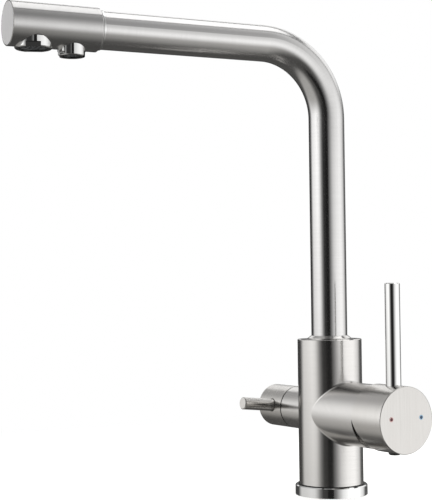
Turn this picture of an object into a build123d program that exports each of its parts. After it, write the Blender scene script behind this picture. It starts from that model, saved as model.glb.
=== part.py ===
"""Three way filtered water tap: a swivel spout with two outlets, a side lever mixer
and a quarter turn valve for filtered water.

Millimetres. The origin is the centre of the base on the worktop, +Z is up, the mixer
handle points along +X, the filter valve along -X, and the spout's home side is -Y.
"""
from build123d import *
from math import cos, sin, tan, radians
import os

os.makedirs("parts", exist_ok=True)

# ---------------------------------------------------------------- driving dimensions
# clearances
seat_gap = 0.05           # radial gap of a piece that is screwed, glued or pressed home
running_gap = 0.08        # radial gap of a bearing or an O-ring seat
moving_gap = 0.3          # gap between faces that pass each other
# column
body_diameter = 44.6
body_top = 107.4
base_ring_diameter = 50.0
base_ring_height = 7.0
gasket_thickness = 1.5
# fixing below the worktop
shank_diameter = 33.0
shank_bore = 28.0
shank_drop = 58.0         # how far the threaded shank hangs below the worktop's top
shank_grip = 14.0         # thread held in the body
fixing_nut_height = 8.0
fixing_nut_width = 46.0   # across flats
washer_diameter = 52.0
# water ways
hose_thread_radius = 4.6  # M10 x 1 core
hose_thread_depth = 10.0
hose_circle = 9.3         # radius on which the three hose ports stand
hose_hall_top = 31.0      # ceiling of the room where the hoses screw in
way_radius = 3.0
# spout
tube_diameter = 25.0
tube_wall = 1.2
arm_height = 311.4        # arm's centre line above the worktop
bend_radius = 50.0
reach = 229.5             # column axis to the spout's end face
photo_swivel = 7.0        # degrees the spout is turned from home towards the filter valve
bush_wall = 1.6            # round the tube that is pressed into it
bush_diameter = tube_diameter + 2 * bush_wall
bush_foot = 81.0
bush_bore = 20.0
tube_foot = 97.0
collar_height = 2.4       # the cone that covers the bush, above the body's top
collar_overhang = 1.1
collar_radius = bush_diameter / 2 + collar_overhang
inner_tube_diameter = 6.0
inner_tube_bore = 4.0
inner_tube_foot = 69.0
# spout head
head_wall = 1.9            # round the tube
head_diameter = tube_diameter + 2 * head_wall
head_length = 59.6
head_chamfer = 0.8
end_cap_thickness = 3.5
end_cap_edge = 0.7         # head's rim that shows round the end cap
end_cap_diameter = head_diameter - 2 * end_cap_edge
aerator_from_end = 16.8
aerator_diameter = 24.0
aerator_drop = 0.9        # how far it stands below the head
aerator_bore = 18.0
nozzle_from_end = 42.1
nozzle_diameter = 18.0
nozzle_drop = 4.1
nozzle_bore = 9.0
# spanner slots in the rims of the two outlets
slot_depth = 2.0
aerator_slot_width = 9.5
aerator_slot_height = 3.0
aerator_slot_turn = -24.0  # degrees from the mixer's side, as they happen to stand
nozzle_slot_width = 7.0
nozzle_slot_height = 3.2
nozzle_slot_turn = 58.0
# mixer
valve_height = 57.0       # both valves' axis above the worktop
mixer_stub_diameter = 42.6
mixer_stub_end = 50.6
junction_fillet = 1.2     # where the two stubs leave the column
mixer_cave_floor = 21.0   # bottom of the cartridge's bore, from the column axis
cartridge_diameter = 35.0
cap_diameter = 44.0
cap_end = 80.6
cap_cavity_floor = 61.5
cap_cavity_diameter = 38.0
cap_rounding = 0.5
tilt_range = 20.0         # degrees the lever leans out from closed to full flow
pivot_from_axis = 45.0    # tilt pivot, from the column axis
spindle_width = 8.0
lever_from_axis = 68.4
lever_diameter = 10.0
lever_top = 145.8
marker_diameter = 3.2
marker_spacing = 25.0
marker_rise = 1.3         # above the mixer's axis
# filter valve
filter_stub_diameter = 30.0
filter_stub_end = 39.0
filter_cave_floor = 14.0
filter_cave_diameter = 20.4
filter_cap_end = 67.0
filter_lever_from_axis = 51.0
filter_lever_diameter = 8.7
filter_lever_tip = 40.0   # from the valve's axis
filter_lever_rise = 6.0   # degrees above level, as the valve stands in the photo


# ------------------------------------------------------------------------- helpers
def lathe(origin, along, outward):
    """A plane to draw a turned outline on: its x runs along the axis, its y outwards."""
    return Plane(origin=origin, x_dir=along, z_dir=Vector(*along).cross(Vector(*outward)))


def turn(plane, *outline, mode=Mode.ADD):
    """Turn a closed outline of (along, radius) points about the plane's x axis."""
    with BuildSketch(plane) as profile:
        with BuildLine():
            Polyline(*outline, close=True)
        make_face()
    revolve(profile.sketch, axis=Axis(plane.origin, plane.x_dir), mode=mode)


def tube(plane, start, end, outer, inner=0.0, mode=Mode.ADD):
    """A plain turned tube or rod between two places on the axis."""
    turn(plane, (start, inner), (end, inner), (end, outer), (start, outer), mode=mode)


def o_ring(plane, place, outer, cord):
    """A round rubber ring whose outer radius is given."""
    with BuildSketch(plane) as section:
        with Locations((place, outer - cord / 2)):
            Circle(cord / 2)
    revolve(section.sketch, axis=Axis(plane.origin, plane.x_dir))


def bore(start, direction, length, radius, mode=Mode.SUBTRACT):
    """A straight round hole, or a rod with mode=Mode.ADD."""
    with BuildSketch(Plane(origin=start, z_dir=direction)) as mouth:
        Circle(radius)
    extrude(mouth.sketch, amount=length, mode=mode)


def bar(plane, start, end, width, height=None, mode=Mode.ADD, lift=0.0):
    """A rectangular bar along the plane's x axis, lifted outwards if asked."""
    with BuildSketch(Plane(plane.origin, x_dir=plane.z_dir, z_dir=plane.x_dir).offset(start)) as end_face:
        with Locations((0, -lift)):
            Rectangle(width, height or width)
    extrude(end_face.sketch, amount=end - start, mode=mode)


def save(builder, name):
    builder.part.label = name
    export_step(builder.part, f"parts/{name}.step")


# ------------------------------------------------------------------- derived places
column = lathe((0, 0, 0), (0, 0, 1), (1, 0, 0))
mixer = lathe((0, 0, valve_height), (1, 0, 0), (0, 0, 1))
valve = lathe((0, 0, valve_height), (-1, 0, 0), (0, 0, 1))

forward = (-sin(radians(photo_swivel)), -cos(radians(photo_swivel)), 0.0)
arm = lathe((0, 0, arm_height), forward, (0, 0, 1))
spout_plane = lathe((0, 0, 0), forward, (0, 0, 1))


def on_arm(distance, height=0.0):
    """The point of the arm's line that far from the column, raised or lowered."""
    return (forward[0] * distance, forward[1] * distance, arm_height + height)


body_radius = body_diameter / 2
ring_radius = base_ring_diameter / 2
shank_radius = shank_diameter / 2
tube_radius = tube_diameter / 2
bush_radius = bush_diameter / 2
head_radius = head_diameter / 2
head_rear = reach - head_length
aerator_place = reach - aerator_from_end
nozzle_place = reach - nozzle_from_end
socket_radius = bush_radius + running_gap
cartridge_radius = cartridge_diameter / 2
cap_radius = cap_diameter / 2
filter_cap_radius = filter_stub_diameter / 2

# ------------------------------------------------------------ base and fixing pieces
gasket_inner = 19.0
gasket_outer = 23.0

with BuildPart() as base_ring:
    tube(column, 0, base_ring_height, ring_radius, shank_radius + seat_gap)
    tube(column, 0, gasket_thickness, gasket_outer + seat_gap, gasket_inner - seat_gap,
         mode=Mode.SUBTRACT)
    chamfer(base_ring.edges().filter_by(GeomType.CIRCLE).group_by(Axis.Z)[-1].sort_by(
        lambda e: e.length)[-1], 0.6)
save(base_ring, "base_ring")

with BuildPart() as base_gasket:
    tube(column, 0, gasket_thickness, gasket_outer, gasket_inner)
save(base_gasket, "base_gasket")

with BuildPart() as fixing_shank:
    tube(column, -shank_drop, base_ring_height + shank_grip, shank_radius, shank_bore / 2)
save(fixing_shank, "fixing_shank")

nut_low = -shank_drop + 5.0
nut_top = nut_low + fixing_nut_height
steel_washer_thickness = 1.5
rubber_washer_thickness = 3.0
washer_bore = shank_radius + moving_gap

with BuildPart() as fixing_nut:
    with BuildSketch(Plane.XY.offset(nut_low)):
        RegularPolygon(fixing_nut_width / 2, 6, major_radius=False)
        Circle(shank_radius + seat_gap, mode=Mode.SUBTRACT)
    extrude(amount=fixing_nut_height)
save(fixing_nut, "fixing_nut")

with BuildPart() as clamp_washer:
    tube(column, nut_top, nut_top + steel_washer_thickness, washer_diameter / 2, washer_bore)
save(clamp_washer, "clamp_washer")

with BuildPart() as clamp_rubber:
    tube(column, nut_top + steel_washer_thickness,
         nut_top + steel_washer_thickness + rubber_washer_thickness, washer_diameter / 2, washer_bore)
save(clamp_rubber, "clamp_rubber")

# ------------------------------------------------------------------------- the body
cartridge_nut_length = 8.5
nut_thread_radius = cartridge_radius + 1.7
inner_socket_floor = inner_tube_foot - 1.0
spout_socket_floor = bush_foot - 1.0
outlet_way_height = valve_height + 9.0
filtered_way_height = valve_height + 8.0
inlet_way_height = valve_height - 5.0
rising_way_x = 9.6
rising_way_radius = 3.4
filtered_way_radius = 2.4
inner_o_ring_place = 74.0
inner_o_ring_cord = 1.8
retaining_screw_height = 93.0
retaining_screw_radius = 2.5
hot_port = (hose_circle * cos(radians(60)), -hose_circle * sin(radians(60)))
cold_port = (hot_port[0], -hot_port[1])
filter_port = (-hose_circle, 0.0)

with BuildPart() as tap_body:
    tube(column, base_ring_height, body_top, body_radius)
    chamfer(tap_body.edges().filter_by(GeomType.CIRCLE).group_by(Axis.Z)[-1], 0.4)
    tube(mixer, 0, mixer_stub_end, mixer_stub_diameter / 2)
    tube(valve, 0, filter_stub_end, filter_stub_diameter / 2)
    fillet(tap_body.edges().filter_by(GeomType.BSPLINE), junction_fillet)
    chamfer(tap_body.edges().filter_by(GeomType.CIRCLE).sort_by(Axis.X)[-1], 0.25)
    chamfer(tap_body.edges().filter_by(GeomType.CIRCLE).sort_by(Axis.X)[0], 0.25)
    # room for the shank and the hoses, from below
    bore((0, 0, base_ring_height), (0, 0, 1), hose_hall_top - base_ring_height, shank_radius + seat_gap)
    # spout socket and the filtered water socket on the column's axis
    bore((0, 0, spout_socket_floor), (0, 0, 1), body_top, socket_radius)
    bore((0, 0, inner_socket_floor), (0, 0, 1), body_top, inner_tube_diameter / 2 + running_gap)
    tube(column, inner_o_ring_place - inner_o_ring_cord * 0.6, inner_o_ring_place + inner_o_ring_cord * 0.6,
         inner_tube_diameter / 2 + inner_o_ring_cord + 2 * running_gap, mode=Mode.SUBTRACT)
    bore((0, 0, filtered_way_height), (0, 0, 1), body_top, filtered_way_radius)
    # caves for the cartridge and the filter valve
    tube(mixer, mixer_cave_floor, mixer_stub_end + 1, cartridge_radius + seat_gap, mode=Mode.SUBTRACT)
    tube(mixer, mixer_stub_end - cartridge_nut_length, mixer_stub_end + 1, nut_thread_radius + seat_gap,
         mode=Mode.SUBTRACT)
    tube(valve, filter_cave_floor, filter_stub_end + 1, filter_cave_diameter / 2, mode=Mode.SUBTRACT)
    # hot, cold and filtered inlets
    for x, y in (hot_port, cold_port, filter_port):
        bore((x, y, base_ring_height), (0, 0, 1), hose_hall_top + hose_thread_depth - base_ring_height,
             hose_thread_radius)
    for x, y in (hot_port, cold_port):
        bore((x, y, hose_hall_top), (0, 0, 1), inlet_way_height - hose_hall_top + way_radius, way_radius)
        bore((x, y, inlet_way_height), (1, 0, 0), mixer_cave_floor - x + 1, way_radius)
    bore((filter_port[0], 0, hose_hall_top), (0, 0, 1), valve_height - hose_hall_top, way_radius)
    bore((filter_port[0] + way_radius, 0, valve_height), (-1, 0, 0), filter_cave_floor, way_radius - 0.2)
    # mixed water up to the spout, filtered water across to the inner tube
    bore((rising_way_x, 0, outlet_way_height), (1, 0, 0), mixer_cave_floor - rising_way_x + 1,
         rising_way_radius)
    bore((rising_way_x, 0, outlet_way_height - rising_way_radius), (0, 0, 1),
         spout_socket_floor - outlet_way_height + 2 * rising_way_radius, rising_way_radius)
    bore((0, 0, filtered_way_height), (-1, 0, 0), filter_cave_floor + 4, filtered_way_radius)
    # the screw that keeps the spout in, at the back
    bore((0, 0, retaining_screw_height), (0, 1, 0), body_radius + 1, retaining_screw_radius + seat_gap)
save(tap_body, "tap_body")

# -------------------------------------------------------------- spout bearing pieces
groove_half = retaining_screw_radius
groove_radius = bush_radius - 1.9
slip_ring_thickness = 1.0
slip_ring_width = 3.0
slip_ring_places = (bush_foot + 0.4, 100.0)
spout_o_ring_places = (86.2, 89.0)
spout_o_ring_cord = 1.8
bush_top = body_top - 0.6

with BuildPart() as spout_bush:
    tube(column, bush_foot, bush_top, bush_radius, bush_bore / 2)
    tube(column, tube_foot, bush_top, tube_radius + seat_gap, mode=Mode.SUBTRACT)
    tube(column, retaining_screw_height - groove_half - 0.2, retaining_screw_height + groove_half + 0.2,
         bush_radius + 1, groove_radius, mode=Mode.SUBTRACT)
    for place in spout_o_ring_places:
        tube(column, place - spout_o_ring_cord * 0.6, place + spout_o_ring_cord * 0.6, bush_radius + 1,
             bush_radius - spout_o_ring_cord, mode=Mode.SUBTRACT)
    for place in slip_ring_places:
        tube(column, place, place + slip_ring_width, bush_radius + 1, bush_radius - slip_ring_thickness,
             mode=Mode.SUBTRACT)
save(spout_bush, "spout_bush")

with BuildPart() as spout_o_rings:
    for place in spout_o_ring_places:
        o_ring(column, place, bush_radius + seat_gap / 2, spout_o_ring_cord)
save(spout_o_rings, "spout_o_rings")

with BuildPart() as spout_slip_rings:
    for place in slip_ring_places:
        tube(column, place, place + slip_ring_width, bush_radius + seat_gap / 2,
             bush_radius - slip_ring_thickness)
save(spout_slip_rings, "spout_slip_rings")

collar_seat = body_top + moving_gap
with BuildPart() as spout_collar:
    turn(column, (bush_top, tube_radius + seat_gap), (body_top + collar_height, tube_radius + seat_gap),
         (body_top + collar_height, tube_radius + 0.4), (collar_seat + 0.3, collar_radius),
         (collar_seat, collar_radius), (collar_seat, bush_radius), (bush_top, bush_radius))
save(spout_collar, "spout_collar")

retaining_tip = groove_radius + moving_gap
with BuildPart() as spout_retaining_screw:
    bore((0, retaining_tip, retaining_screw_height), (0, 1, 0), body_radius - 0.5 - retaining_tip,
         retaining_screw_radius - 0.1, mode=Mode.ADD)
    with BuildSketch(Plane(origin=(0, body_radius - 0.5, retaining_screw_height), z_dir=(0, -1, 0))):
        RegularPolygon(1.25, 6, major_radius=False)
    extrude(amount=2.5, mode=Mode.SUBTRACT)
save(spout_retaining_screw, "spout_retaining_screw")

# ------------------------------------------------------------------------- the spout
nozzle_thread_radius = 6.5
block_rear = nozzle_place - nozzle_diameter / 2 - 0.6
tube_end = block_rear - 0.4
inner_tube_end = nozzle_place - nozzle_thread_radius - 0.4

with BuildPart() as spout_tube:
    with BuildLine(spout_plane):
        FilletPolyline((0, tube_foot), (0, arm_height), (tube_end, arm_height), radius=bend_radius)
    with BuildSketch(Plane.XY.offset(tube_foot)):
        Circle(tube_radius)
        Circle(tube_radius - tube_wall, mode=Mode.SUBTRACT)
    sweep()
save(spout_tube, "spout_tube")

with BuildPart() as filtered_water_tube:
    with BuildLine(spout_plane):
        FilletPolyline((0, inner_tube_foot), (0, arm_height), (inner_tube_end, arm_height),
                       radius=bend_radius)
    with BuildSketch(Plane.XY.offset(inner_tube_foot)):
        Circle(inner_tube_diameter / 2)
        Circle(inner_tube_bore / 2, mode=Mode.SUBTRACT)
    sweep()
save(filtered_water_tube, "filtered_water_tube")

with BuildPart() as filtered_tube_seal:
    o_ring(column, inner_o_ring_place, inner_tube_diameter / 2 + inner_o_ring_cord + seat_gap,
           inner_o_ring_cord)
save(filtered_tube_seal, "filtered_tube_seal")

# -------------------------------------------------------------------- the spout head
head_bore = tube_radius + running_gap
head_end = reach
cap_seat = head_end - end_cap_thickness
ring_gap = 0.6
ring_width = 1.1
block_end = cap_seat - 0.2
aerator_radius = aerator_diameter / 2
nozzle_radius = nozzle_diameter / 2
aerator_low = head_radius + aerator_drop
nozzle_low = head_radius + nozzle_drop
aerator_shoulder = 8.5     # below the arm's line, where the aerator's thread begins
aerator_thread_radius = 11.0
aerator_thread_top = -5.5
nozzle_shoulder = 10.8
nozzle_thread_top = 1.5
aerator_down = lathe(on_arm(aerator_place), (0, 0, -1), forward)
nozzle_down = lathe(on_arm(nozzle_place), (0, 0, -1), forward)

with BuildPart() as spout_head:
    turn(arm, (head_rear, head_bore), (head_end, head_bore), (head_end, head_radius - 0.3),
         (head_end - 0.3, head_radius), (head_rear + head_chamfer, head_radius),
         (head_rear, head_radius - head_chamfer))
    tube(arm, cap_seat, head_end + 1, end_cap_diameter / 2 + seat_gap, mode=Mode.SUBTRACT)
    tube(aerator_down, 0, head_radius + 1, aerator_radius + seat_gap, mode=Mode.SUBTRACT)
    tube(nozzle_down, 0, head_radius + 1, nozzle_radius + seat_gap, mode=Mode.SUBTRACT)
save(spout_head, "spout_head")

with BuildPart() as head_end_cap:
    turn(arm, (cap_seat, 0), (head_end, 0), (head_end, end_cap_diameter / 2 - 0.2),
         (head_end - 0.2, end_cap_diameter / 2), (cap_seat, end_cap_diameter / 2))
save(head_end_cap, "head_end_cap")

with BuildPart() as head_ring:
    tube(arm, head_rear - ring_gap - ring_width, head_rear - ring_gap, tube_radius + 0.6,
         tube_radius + seat_gap)
    tube(arm, head_rear - ring_gap, head_rear, tube_radius + 0.25, tube_radius + seat_gap)
save(head_ring, "head_ring")

mixed_way_height = 8.0
mixed_way_radius = 2.6
with BuildPart() as outlet_block:
    tube(arm, block_rear, block_end, tube_radius)
    tube(aerator_down, aerator_thread_top - 1.5, head_radius, aerator_thread_radius + seat_gap,
         mode=Mode.SUBTRACT)
    tube(aerator_down, aerator_shoulder, head_radius, aerator_radius + seat_gap, mode=Mode.SUBTRACT)
    tube(nozzle_down, nozzle_thread_top - 2, head_radius, nozzle_thread_radius + seat_gap,
         mode=Mode.SUBTRACT)
    tube(nozzle_down, nozzle_shoulder, head_radius, nozzle_radius + seat_gap, mode=Mode.SUBTRACT)
    # mixed water passes above the nozzle, filtered water comes in on the arm's line
    bore(on_arm(block_rear - 1, mixed_way_height), forward,
         aerator_place - aerator_thread_radius + 3 - block_rear, mixed_way_radius)
    bore(on_arm(block_rear - 1), forward, nozzle_place - block_rear, inner_tube_diameter / 2 + seat_gap)
save(outlet_block, "outlet_block")

washer_thickness = 1.5
nozzle_insert_seat = nozzle_radius - 3.2


def spanner_slots(rim, turn_angle, radius, width, height):
    """Two flats cut in from opposite sides of an outlet's rim, for a spanner."""
    for half_turn in (0, 180):
        heading = radians(turn_angle + half_turn)
        outward = (cos(heading), sin(heading), 0)
        start = tuple(rim[i] + outward[i] * (radius - slot_depth) for i in range(3))
        with BuildSketch(Plane(origin=start, x_dir=(0, 0, 1), z_dir=outward)) as slot:
            with Locations((height / 2 - 0.5, 0)):
                Rectangle(height + 1, width)
        extrude(slot.sketch, amount=slot_depth + 1, mode=Mode.SUBTRACT)


with BuildPart() as aerator_housing:
    turn(aerator_down, (aerator_thread_top + washer_thickness, aerator_bore / 2),
         (aerator_low, aerator_bore / 2),
         (aerator_low, aerator_radius - 0.6), (aerator_low - 0.6, aerator_radius),
         (aerator_shoulder, aerator_radius), (aerator_shoulder, aerator_thread_radius),
         (aerator_thread_top + washer_thickness, aerator_thread_radius))
    spanner_slots(on_arm(aerator_place, -aerator_low), aerator_slot_turn, aerator_radius, aerator_slot_width,
                  aerator_slot_height)
save(aerator_housing, "aerator_housing")

with BuildPart() as aerator_washer:
    tube(aerator_down, aerator_thread_top, aerator_thread_top + washer_thickness,
         aerator_thread_radius - 0.2, aerator_bore / 2 - 1)
save(aerator_washer, "aerator_washer")

aerator_grid = 3.0
with BuildPart() as aerator_insert:
    tube(aerator_down, aerator_low - 9.0, aerator_low - 1.0, aerator_bore / 2 - seat_gap)
    tube(aerator_down, aerator_low - 7.5, aerator_low - 2.5, aerator_bore / 2 - 1.5, mode=Mode.SUBTRACT)
    with BuildSketch(Plane(on_arm(aerator_place, -aerator_low + 0.5), x_dir=forward, z_dir=(0, 0, 1))):
        with GridLocations(aerator_grid, aerator_grid, 4, 4):
            RectangleRounded(1.8, 1.8, 0.3)
    extrude(amount=9.0, mode=Mode.SUBTRACT)
save(aerator_insert, "aerator_insert")

with BuildPart() as filter_nozzle:
    turn(nozzle_down, (nozzle_thread_top + washer_thickness, nozzle_bore / 2),
         (nozzle_low, nozzle_bore / 2), (nozzle_low, nozzle_radius - 0.5),
         (nozzle_low - 0.5, nozzle_radius), (nozzle_shoulder, nozzle_radius),
         (nozzle_shoulder, nozzle_thread_radius),
         (nozzle_thread_top + washer_thickness, nozzle_thread_radius))
    tube(nozzle_down, nozzle_low - 5.0, nozzle_low, nozzle_insert_seat, mode=Mode.SUBTRACT)
    spanner_slots(on_arm(nozzle_place, -nozzle_low), nozzle_slot_turn, nozzle_radius, nozzle_slot_width,
                  nozzle_slot_height)
save(filter_nozzle, "filter_nozzle")

with BuildPart() as nozzle_washer:
    tube(nozzle_down, nozzle_thread_top, nozzle_thread_top + washer_thickness,
         nozzle_thread_radius - 0.2, nozzle_bore / 2 - 1)
save(nozzle_washer, "nozzle_washer")

with BuildPart() as nozzle_insert:
    tube(nozzle_down, nozzle_low - 5.0, nozzle_low - 1.0, nozzle_insert_seat - seat_gap)
    with BuildSketch(Plane(on_arm(nozzle_place, -nozzle_low + 0.5), x_dir=forward, z_dir=(0, 0, 1))):
        with PolarLocations(3.9, 8):
            Circle(0.8)
        with PolarLocations(1.7, 4):
            Circle(0.8)
    extrude(amount=6.0, mode=Mode.SUBTRACT)
save(nozzle_insert, "nozzle_insert")

# --------------------------------------------------------------- the mixer cartridge
seal_thickness = 1.5
housing_floor = 3.0
housing_wall = 2.0
housing_bore = cartridge_radius - housing_wall
port_radius = 2.9
hot_hole = (hot_port[1], -5.0)
cold_hole = (cold_port[1], -5.0)
mixed_hole = (0.0, 9.0)
seal_end = mixer_cave_floor + seal_thickness
floor_end = seal_end + housing_floor
disc_thickness = 4.0
fixed_disc_end = floor_end + disc_thickness
face_gap = 0.1
moving_disc_start = fixed_disc_end + face_gap
moving_disc_end = moving_disc_start + disc_thickness + 0.4
moving_disc_room = 4.5     # left round the disc for its slide
moving_disc_radius = housing_bore - moving_disc_room
moving_disc_offset = -2.0
nut_start = mixer_stub_end - cartridge_nut_length
nut_lip = 4.5              # how far the nut reaches in over the cartridge
nut_opening = cartridge_radius - nut_lip
neck_radius = nut_opening - moving_gap
rotor_start = moving_disc_end + moving_gap
rotor_shoulder = nut_start - 0.2
neck_end = mixer_stub_end - 1.2
tongue_start = moving_disc_end - 1.6
tongue_width = 5.0
tongue_height = 4.0


def through_ports(start, length):
    """The three water holes that the seal, the housing and the fixed disc share."""
    for y, z in (hot_hole, cold_hole, mixed_hole):
        bore((start, y, valve_height + z), (1, 0, 0), length, port_radius)


with BuildPart() as cartridge_seal:
    tube(mixer, mixer_cave_floor, seal_end, housing_bore)
    through_ports(mixer_cave_floor - 1, seal_thickness + 2)
save(cartridge_seal, "cartridge_seal")

with BuildPart() as cartridge_housing:
    tube(mixer, seal_end, nut_start, cartridge_radius)
    tube(mixer, floor_end, nut_start + 1, housing_bore, mode=Mode.SUBTRACT)
    through_ports(seal_end - 1, housing_floor + 2)
save(cartridge_housing, "cartridge_housing")

with BuildPart() as fixed_ceramic_disc:
    tube(mixer, floor_end, fixed_disc_end, housing_bore - seat_gap)
    through_ports(floor_end - 1, disc_thickness + 2)
save(fixed_ceramic_disc, "fixed_ceramic_disc")

moving_disc_axis = lathe((0, 0, valve_height + moving_disc_offset), (1, 0, 0), (0, 0, 1))
with BuildPart() as moving_ceramic_disc:
    tube(moving_disc_axis, moving_disc_start, moving_disc_end, moving_disc_radius)
    tube(moving_disc_axis, moving_disc_start, moving_disc_start + 1.5, 8.0, mode=Mode.SUBTRACT)
    bar(mixer, tongue_start - 0.5, moving_disc_end + 1, tongue_width + 0.6, tongue_height + 1.8,
        mode=Mode.SUBTRACT)
save(moving_ceramic_disc, "moving_ceramic_disc")

pin_radius = 1.5
pin_inset = 1.7
pin_length = 2 * (neck_radius - pin_inset)
rotor_seal_place = rotor_shoulder - 2.6
rotor_seal_cord = 1.5
rotor_radius = housing_bore - running_gap
slot_low = -6.6
slot_high = 9.0
with BuildPart() as cartridge_rotor:
    tube(mixer, rotor_start, rotor_shoulder, rotor_radius)
    tube(mixer, rotor_start, neck_end, neck_radius)
    tube(mixer, rotor_seal_place - rotor_seal_cord * 0.6, rotor_seal_place + rotor_seal_cord * 0.6,
         rotor_radius + 1, rotor_radius - rotor_seal_cord, mode=Mode.SUBTRACT)
    bar(mixer, rotor_start - 1, neck_end + 1, spindle_width + 2 * moving_gap, slot_high - slot_low,
        mode=Mode.SUBTRACT, lift=(slot_high + slot_low) / 2)
    bore((pivot_from_axis, -pin_length / 2, valve_height), (0, 1, 0), pin_length, pin_radius + seat_gap)
save(cartridge_rotor, "cartridge_rotor")

with BuildPart() as rotor_seal:
    o_ring(mixer, rotor_seal_place, rotor_radius + seat_gap, rotor_seal_cord)
save(rotor_seal, "rotor_seal")

with BuildPart() as cartridge_nut:
    tube(mixer, nut_start, mixer_stub_end - 0.4, nut_thread_radius, nut_opening)
save(cartridge_nut, "cartridge_nut")

with BuildPart() as pivot_pin:
    bore((pivot_from_axis, -pin_length / 2, valve_height), (0, 1, 0), pin_length, pin_radius, mode=Mode.ADD)
save(pivot_pin, "pivot_pin")

# ---------------------------------------------------------------- the mixer's handle
cap_rear_gap = 0.6
cap_start = mixer_stub_end + cap_rear_gap
relief_angle = tilt_range + 2.0
spindle_end = cap_cavity_floor + 11.0
lever_seat = cap_radius - 5.0
lever_stud_radius = 3.0
lever_stud_end = 9.0
screw_radius = 2.5
screw_length = 8.0
plug_radius = 4.0
plug_seat = cap_radius - 2.5
plug_stand = 1.3
marker_sink = 0.6
lever_axis = lathe((lever_from_axis, 0, valve_height), (0, 0, 1), (0, 1, 0))
screw_axis = lathe((lever_from_axis, 0, valve_height), (0, 0, -1), (0, 1, 0))

with BuildPart() as mixer_spindle:
    bar(mixer, tongue_start, pivot_from_axis - 8, tongue_width, tongue_height)
    bar(mixer, pivot_from_axis - 8, spindle_end, spindle_width)
    bore((pivot_from_axis, -pin_length / 2, valve_height), (0, 1, 0), pin_length, pin_radius + running_gap)
save(mixer_spindle, "mixer_spindle")

with BuildPart() as handle_cap:
    tube(mixer, cap_start, cap_end, cap_radius)
    fillet(handle_cap.edges().filter_by(GeomType.CIRCLE).sort_by(Axis.X)[-1], cap_rounding)
    tube(mixer, cap_start - 1, cap_cavity_floor, cap_cavity_diameter / 2, mode=Mode.SUBTRACT)
    # the lower half leans back, so that the cap clears the stub as the lever tilts out
    with BuildSketch(mixer):
        with BuildLine():
            Polyline((cap_start, 0), (cap_start, -cap_diameter),
                     (cap_start + cap_diameter * tan(radians(relief_angle)), -cap_diameter), close=True)
        make_face()
    extrude(amount=cap_diameter, both=True, mode=Mode.SUBTRACT)
    bar(mixer, cap_cavity_floor - 1, spindle_end + 0.3, spindle_width + 2 * seat_gap, mode=Mode.SUBTRACT)
    tube(lever_axis, 0, cap_radius, lever_stud_radius + seat_gap, mode=Mode.SUBTRACT)
    tube(lever_axis, lever_seat, cap_radius + 1, lever_diameter / 2 + seat_gap, mode=Mode.SUBTRACT)
    tube(screw_axis, 0, cap_radius, screw_radius + seat_gap, mode=Mode.SUBTRACT)
    tube(screw_axis, plug_seat, cap_radius + 1, plug_radius + seat_gap, mode=Mode.SUBTRACT)
    for side in (-1, 1):
        bore((cap_end - marker_sink, side * marker_spacing / 2, valve_height + marker_rise), (1, 0, 0), 2,
             marker_diameter / 2 + seat_gap)
save(handle_cap, "handle_cap")

lever_rise = lever_top - valve_height
with BuildPart() as mixer_lever:
    turn(lever_axis, (lever_stud_end, 0), (lever_rise, 0), (lever_rise, lever_diameter / 2 - 0.6),
         (lever_rise - 0.6, lever_diameter / 2), (lever_seat, lever_diameter / 2),
         (lever_seat, lever_stud_radius), (lever_stud_end, lever_stud_radius))
save(mixer_lever, "mixer_lever")

with BuildPart() as handle_screw:
    tube(screw_axis, spindle_width / 2, spindle_width / 2 + screw_length, screw_radius)
    with BuildSketch(Plane((lever_from_axis, 0, valve_height - spindle_width / 2 - screw_length))):
        RegularPolygon(1.25, 6, major_radius=False)
    extrude(amount=2.5, mode=Mode.SUBTRACT)
save(handle_screw, "handle_screw")

with BuildPart() as screw_plug:
    turn(screw_axis, (plug_seat, 0), (cap_radius + plug_stand, 0),
         (cap_radius + plug_stand, plug_radius - 0.8), (cap_radius + plug_stand - 0.8, plug_radius),
         (plug_seat, plug_radius))
save(screw_plug, "screw_plug")

for side, name in ((-1, "hot_marker"), (1, "cold_marker")):
    with BuildPart() as marker:
        bore((cap_end - marker_sink, side * marker_spacing / 2, valve_height + marker_rise), (1, 0, 0),
             marker_sink + 0.1, marker_diameter / 2, mode=Mode.ADD)
    save(marker, name)

# -------------------------------------------------------------------- the filter valve
seat_end = filter_cave_floor + 1.5
disc_radius = 5.8
filter_disc_thickness = 2.5
filter_fixed_end = seat_end + filter_disc_thickness
filter_moving_start = filter_fixed_end + face_gap
filter_moving_end = filter_moving_start + filter_disc_thickness
foot_radius = 8.4
foot_end = filter_moving_end + 1.0
chamber_end = foot_end + 8.0
flange_end = filter_stub_end + 3.3
flange_radius = 12.4
headwork_end = filter_stub_end + 4.8
stem_radius = 4.0
stem_square = 6.0
filter_cap_start = filter_stub_end + 0.8
filter_cap_floor = filter_stub_end + 5.2
stem_end = filter_cap_floor + 9.0
filter_seal_place = chamber_end + 6.0
filter_seal_cord = 1.2
half_moon = 2.6

with BuildPart() as filter_seat_seal:
    tube(valve, filter_cave_floor, seat_end, foot_radius - 0.2, 3.0)
save(filter_seat_seal, "filter_seat_seal")

with BuildPart() as filter_headwork:
    tube(valve, seat_end, foot_end, foot_radius, disc_radius + seat_gap)
    tube(valve, foot_end, filter_stub_end, filter_cave_diameter / 2 - seat_gap, disc_radius + seat_gap)
    tube(valve, chamber_end, headwork_end, foot_radius)
    tube(valve, filter_stub_end, flange_end, flange_radius, stem_radius)
    tube(valve, chamber_end, headwork_end + 1, stem_radius + running_gap, mode=Mode.SUBTRACT)
    # side windows that let the water out past the moving disc
    for turn_angle in (0, 90):
        with BuildSketch(Plane(origin=(-(filter_moving_start + 1.2), 0, valve_height),
                               x_dir=(1, 0, 0), z_dir=(0, 1, 0)).rotated((turn_angle, 0, 0))):
            Rectangle(2.0, 4.5)
        extrude(amount=foot_radius + 1, both=True, mode=Mode.SUBTRACT)
save(filter_headwork, "filter_headwork")


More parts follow.
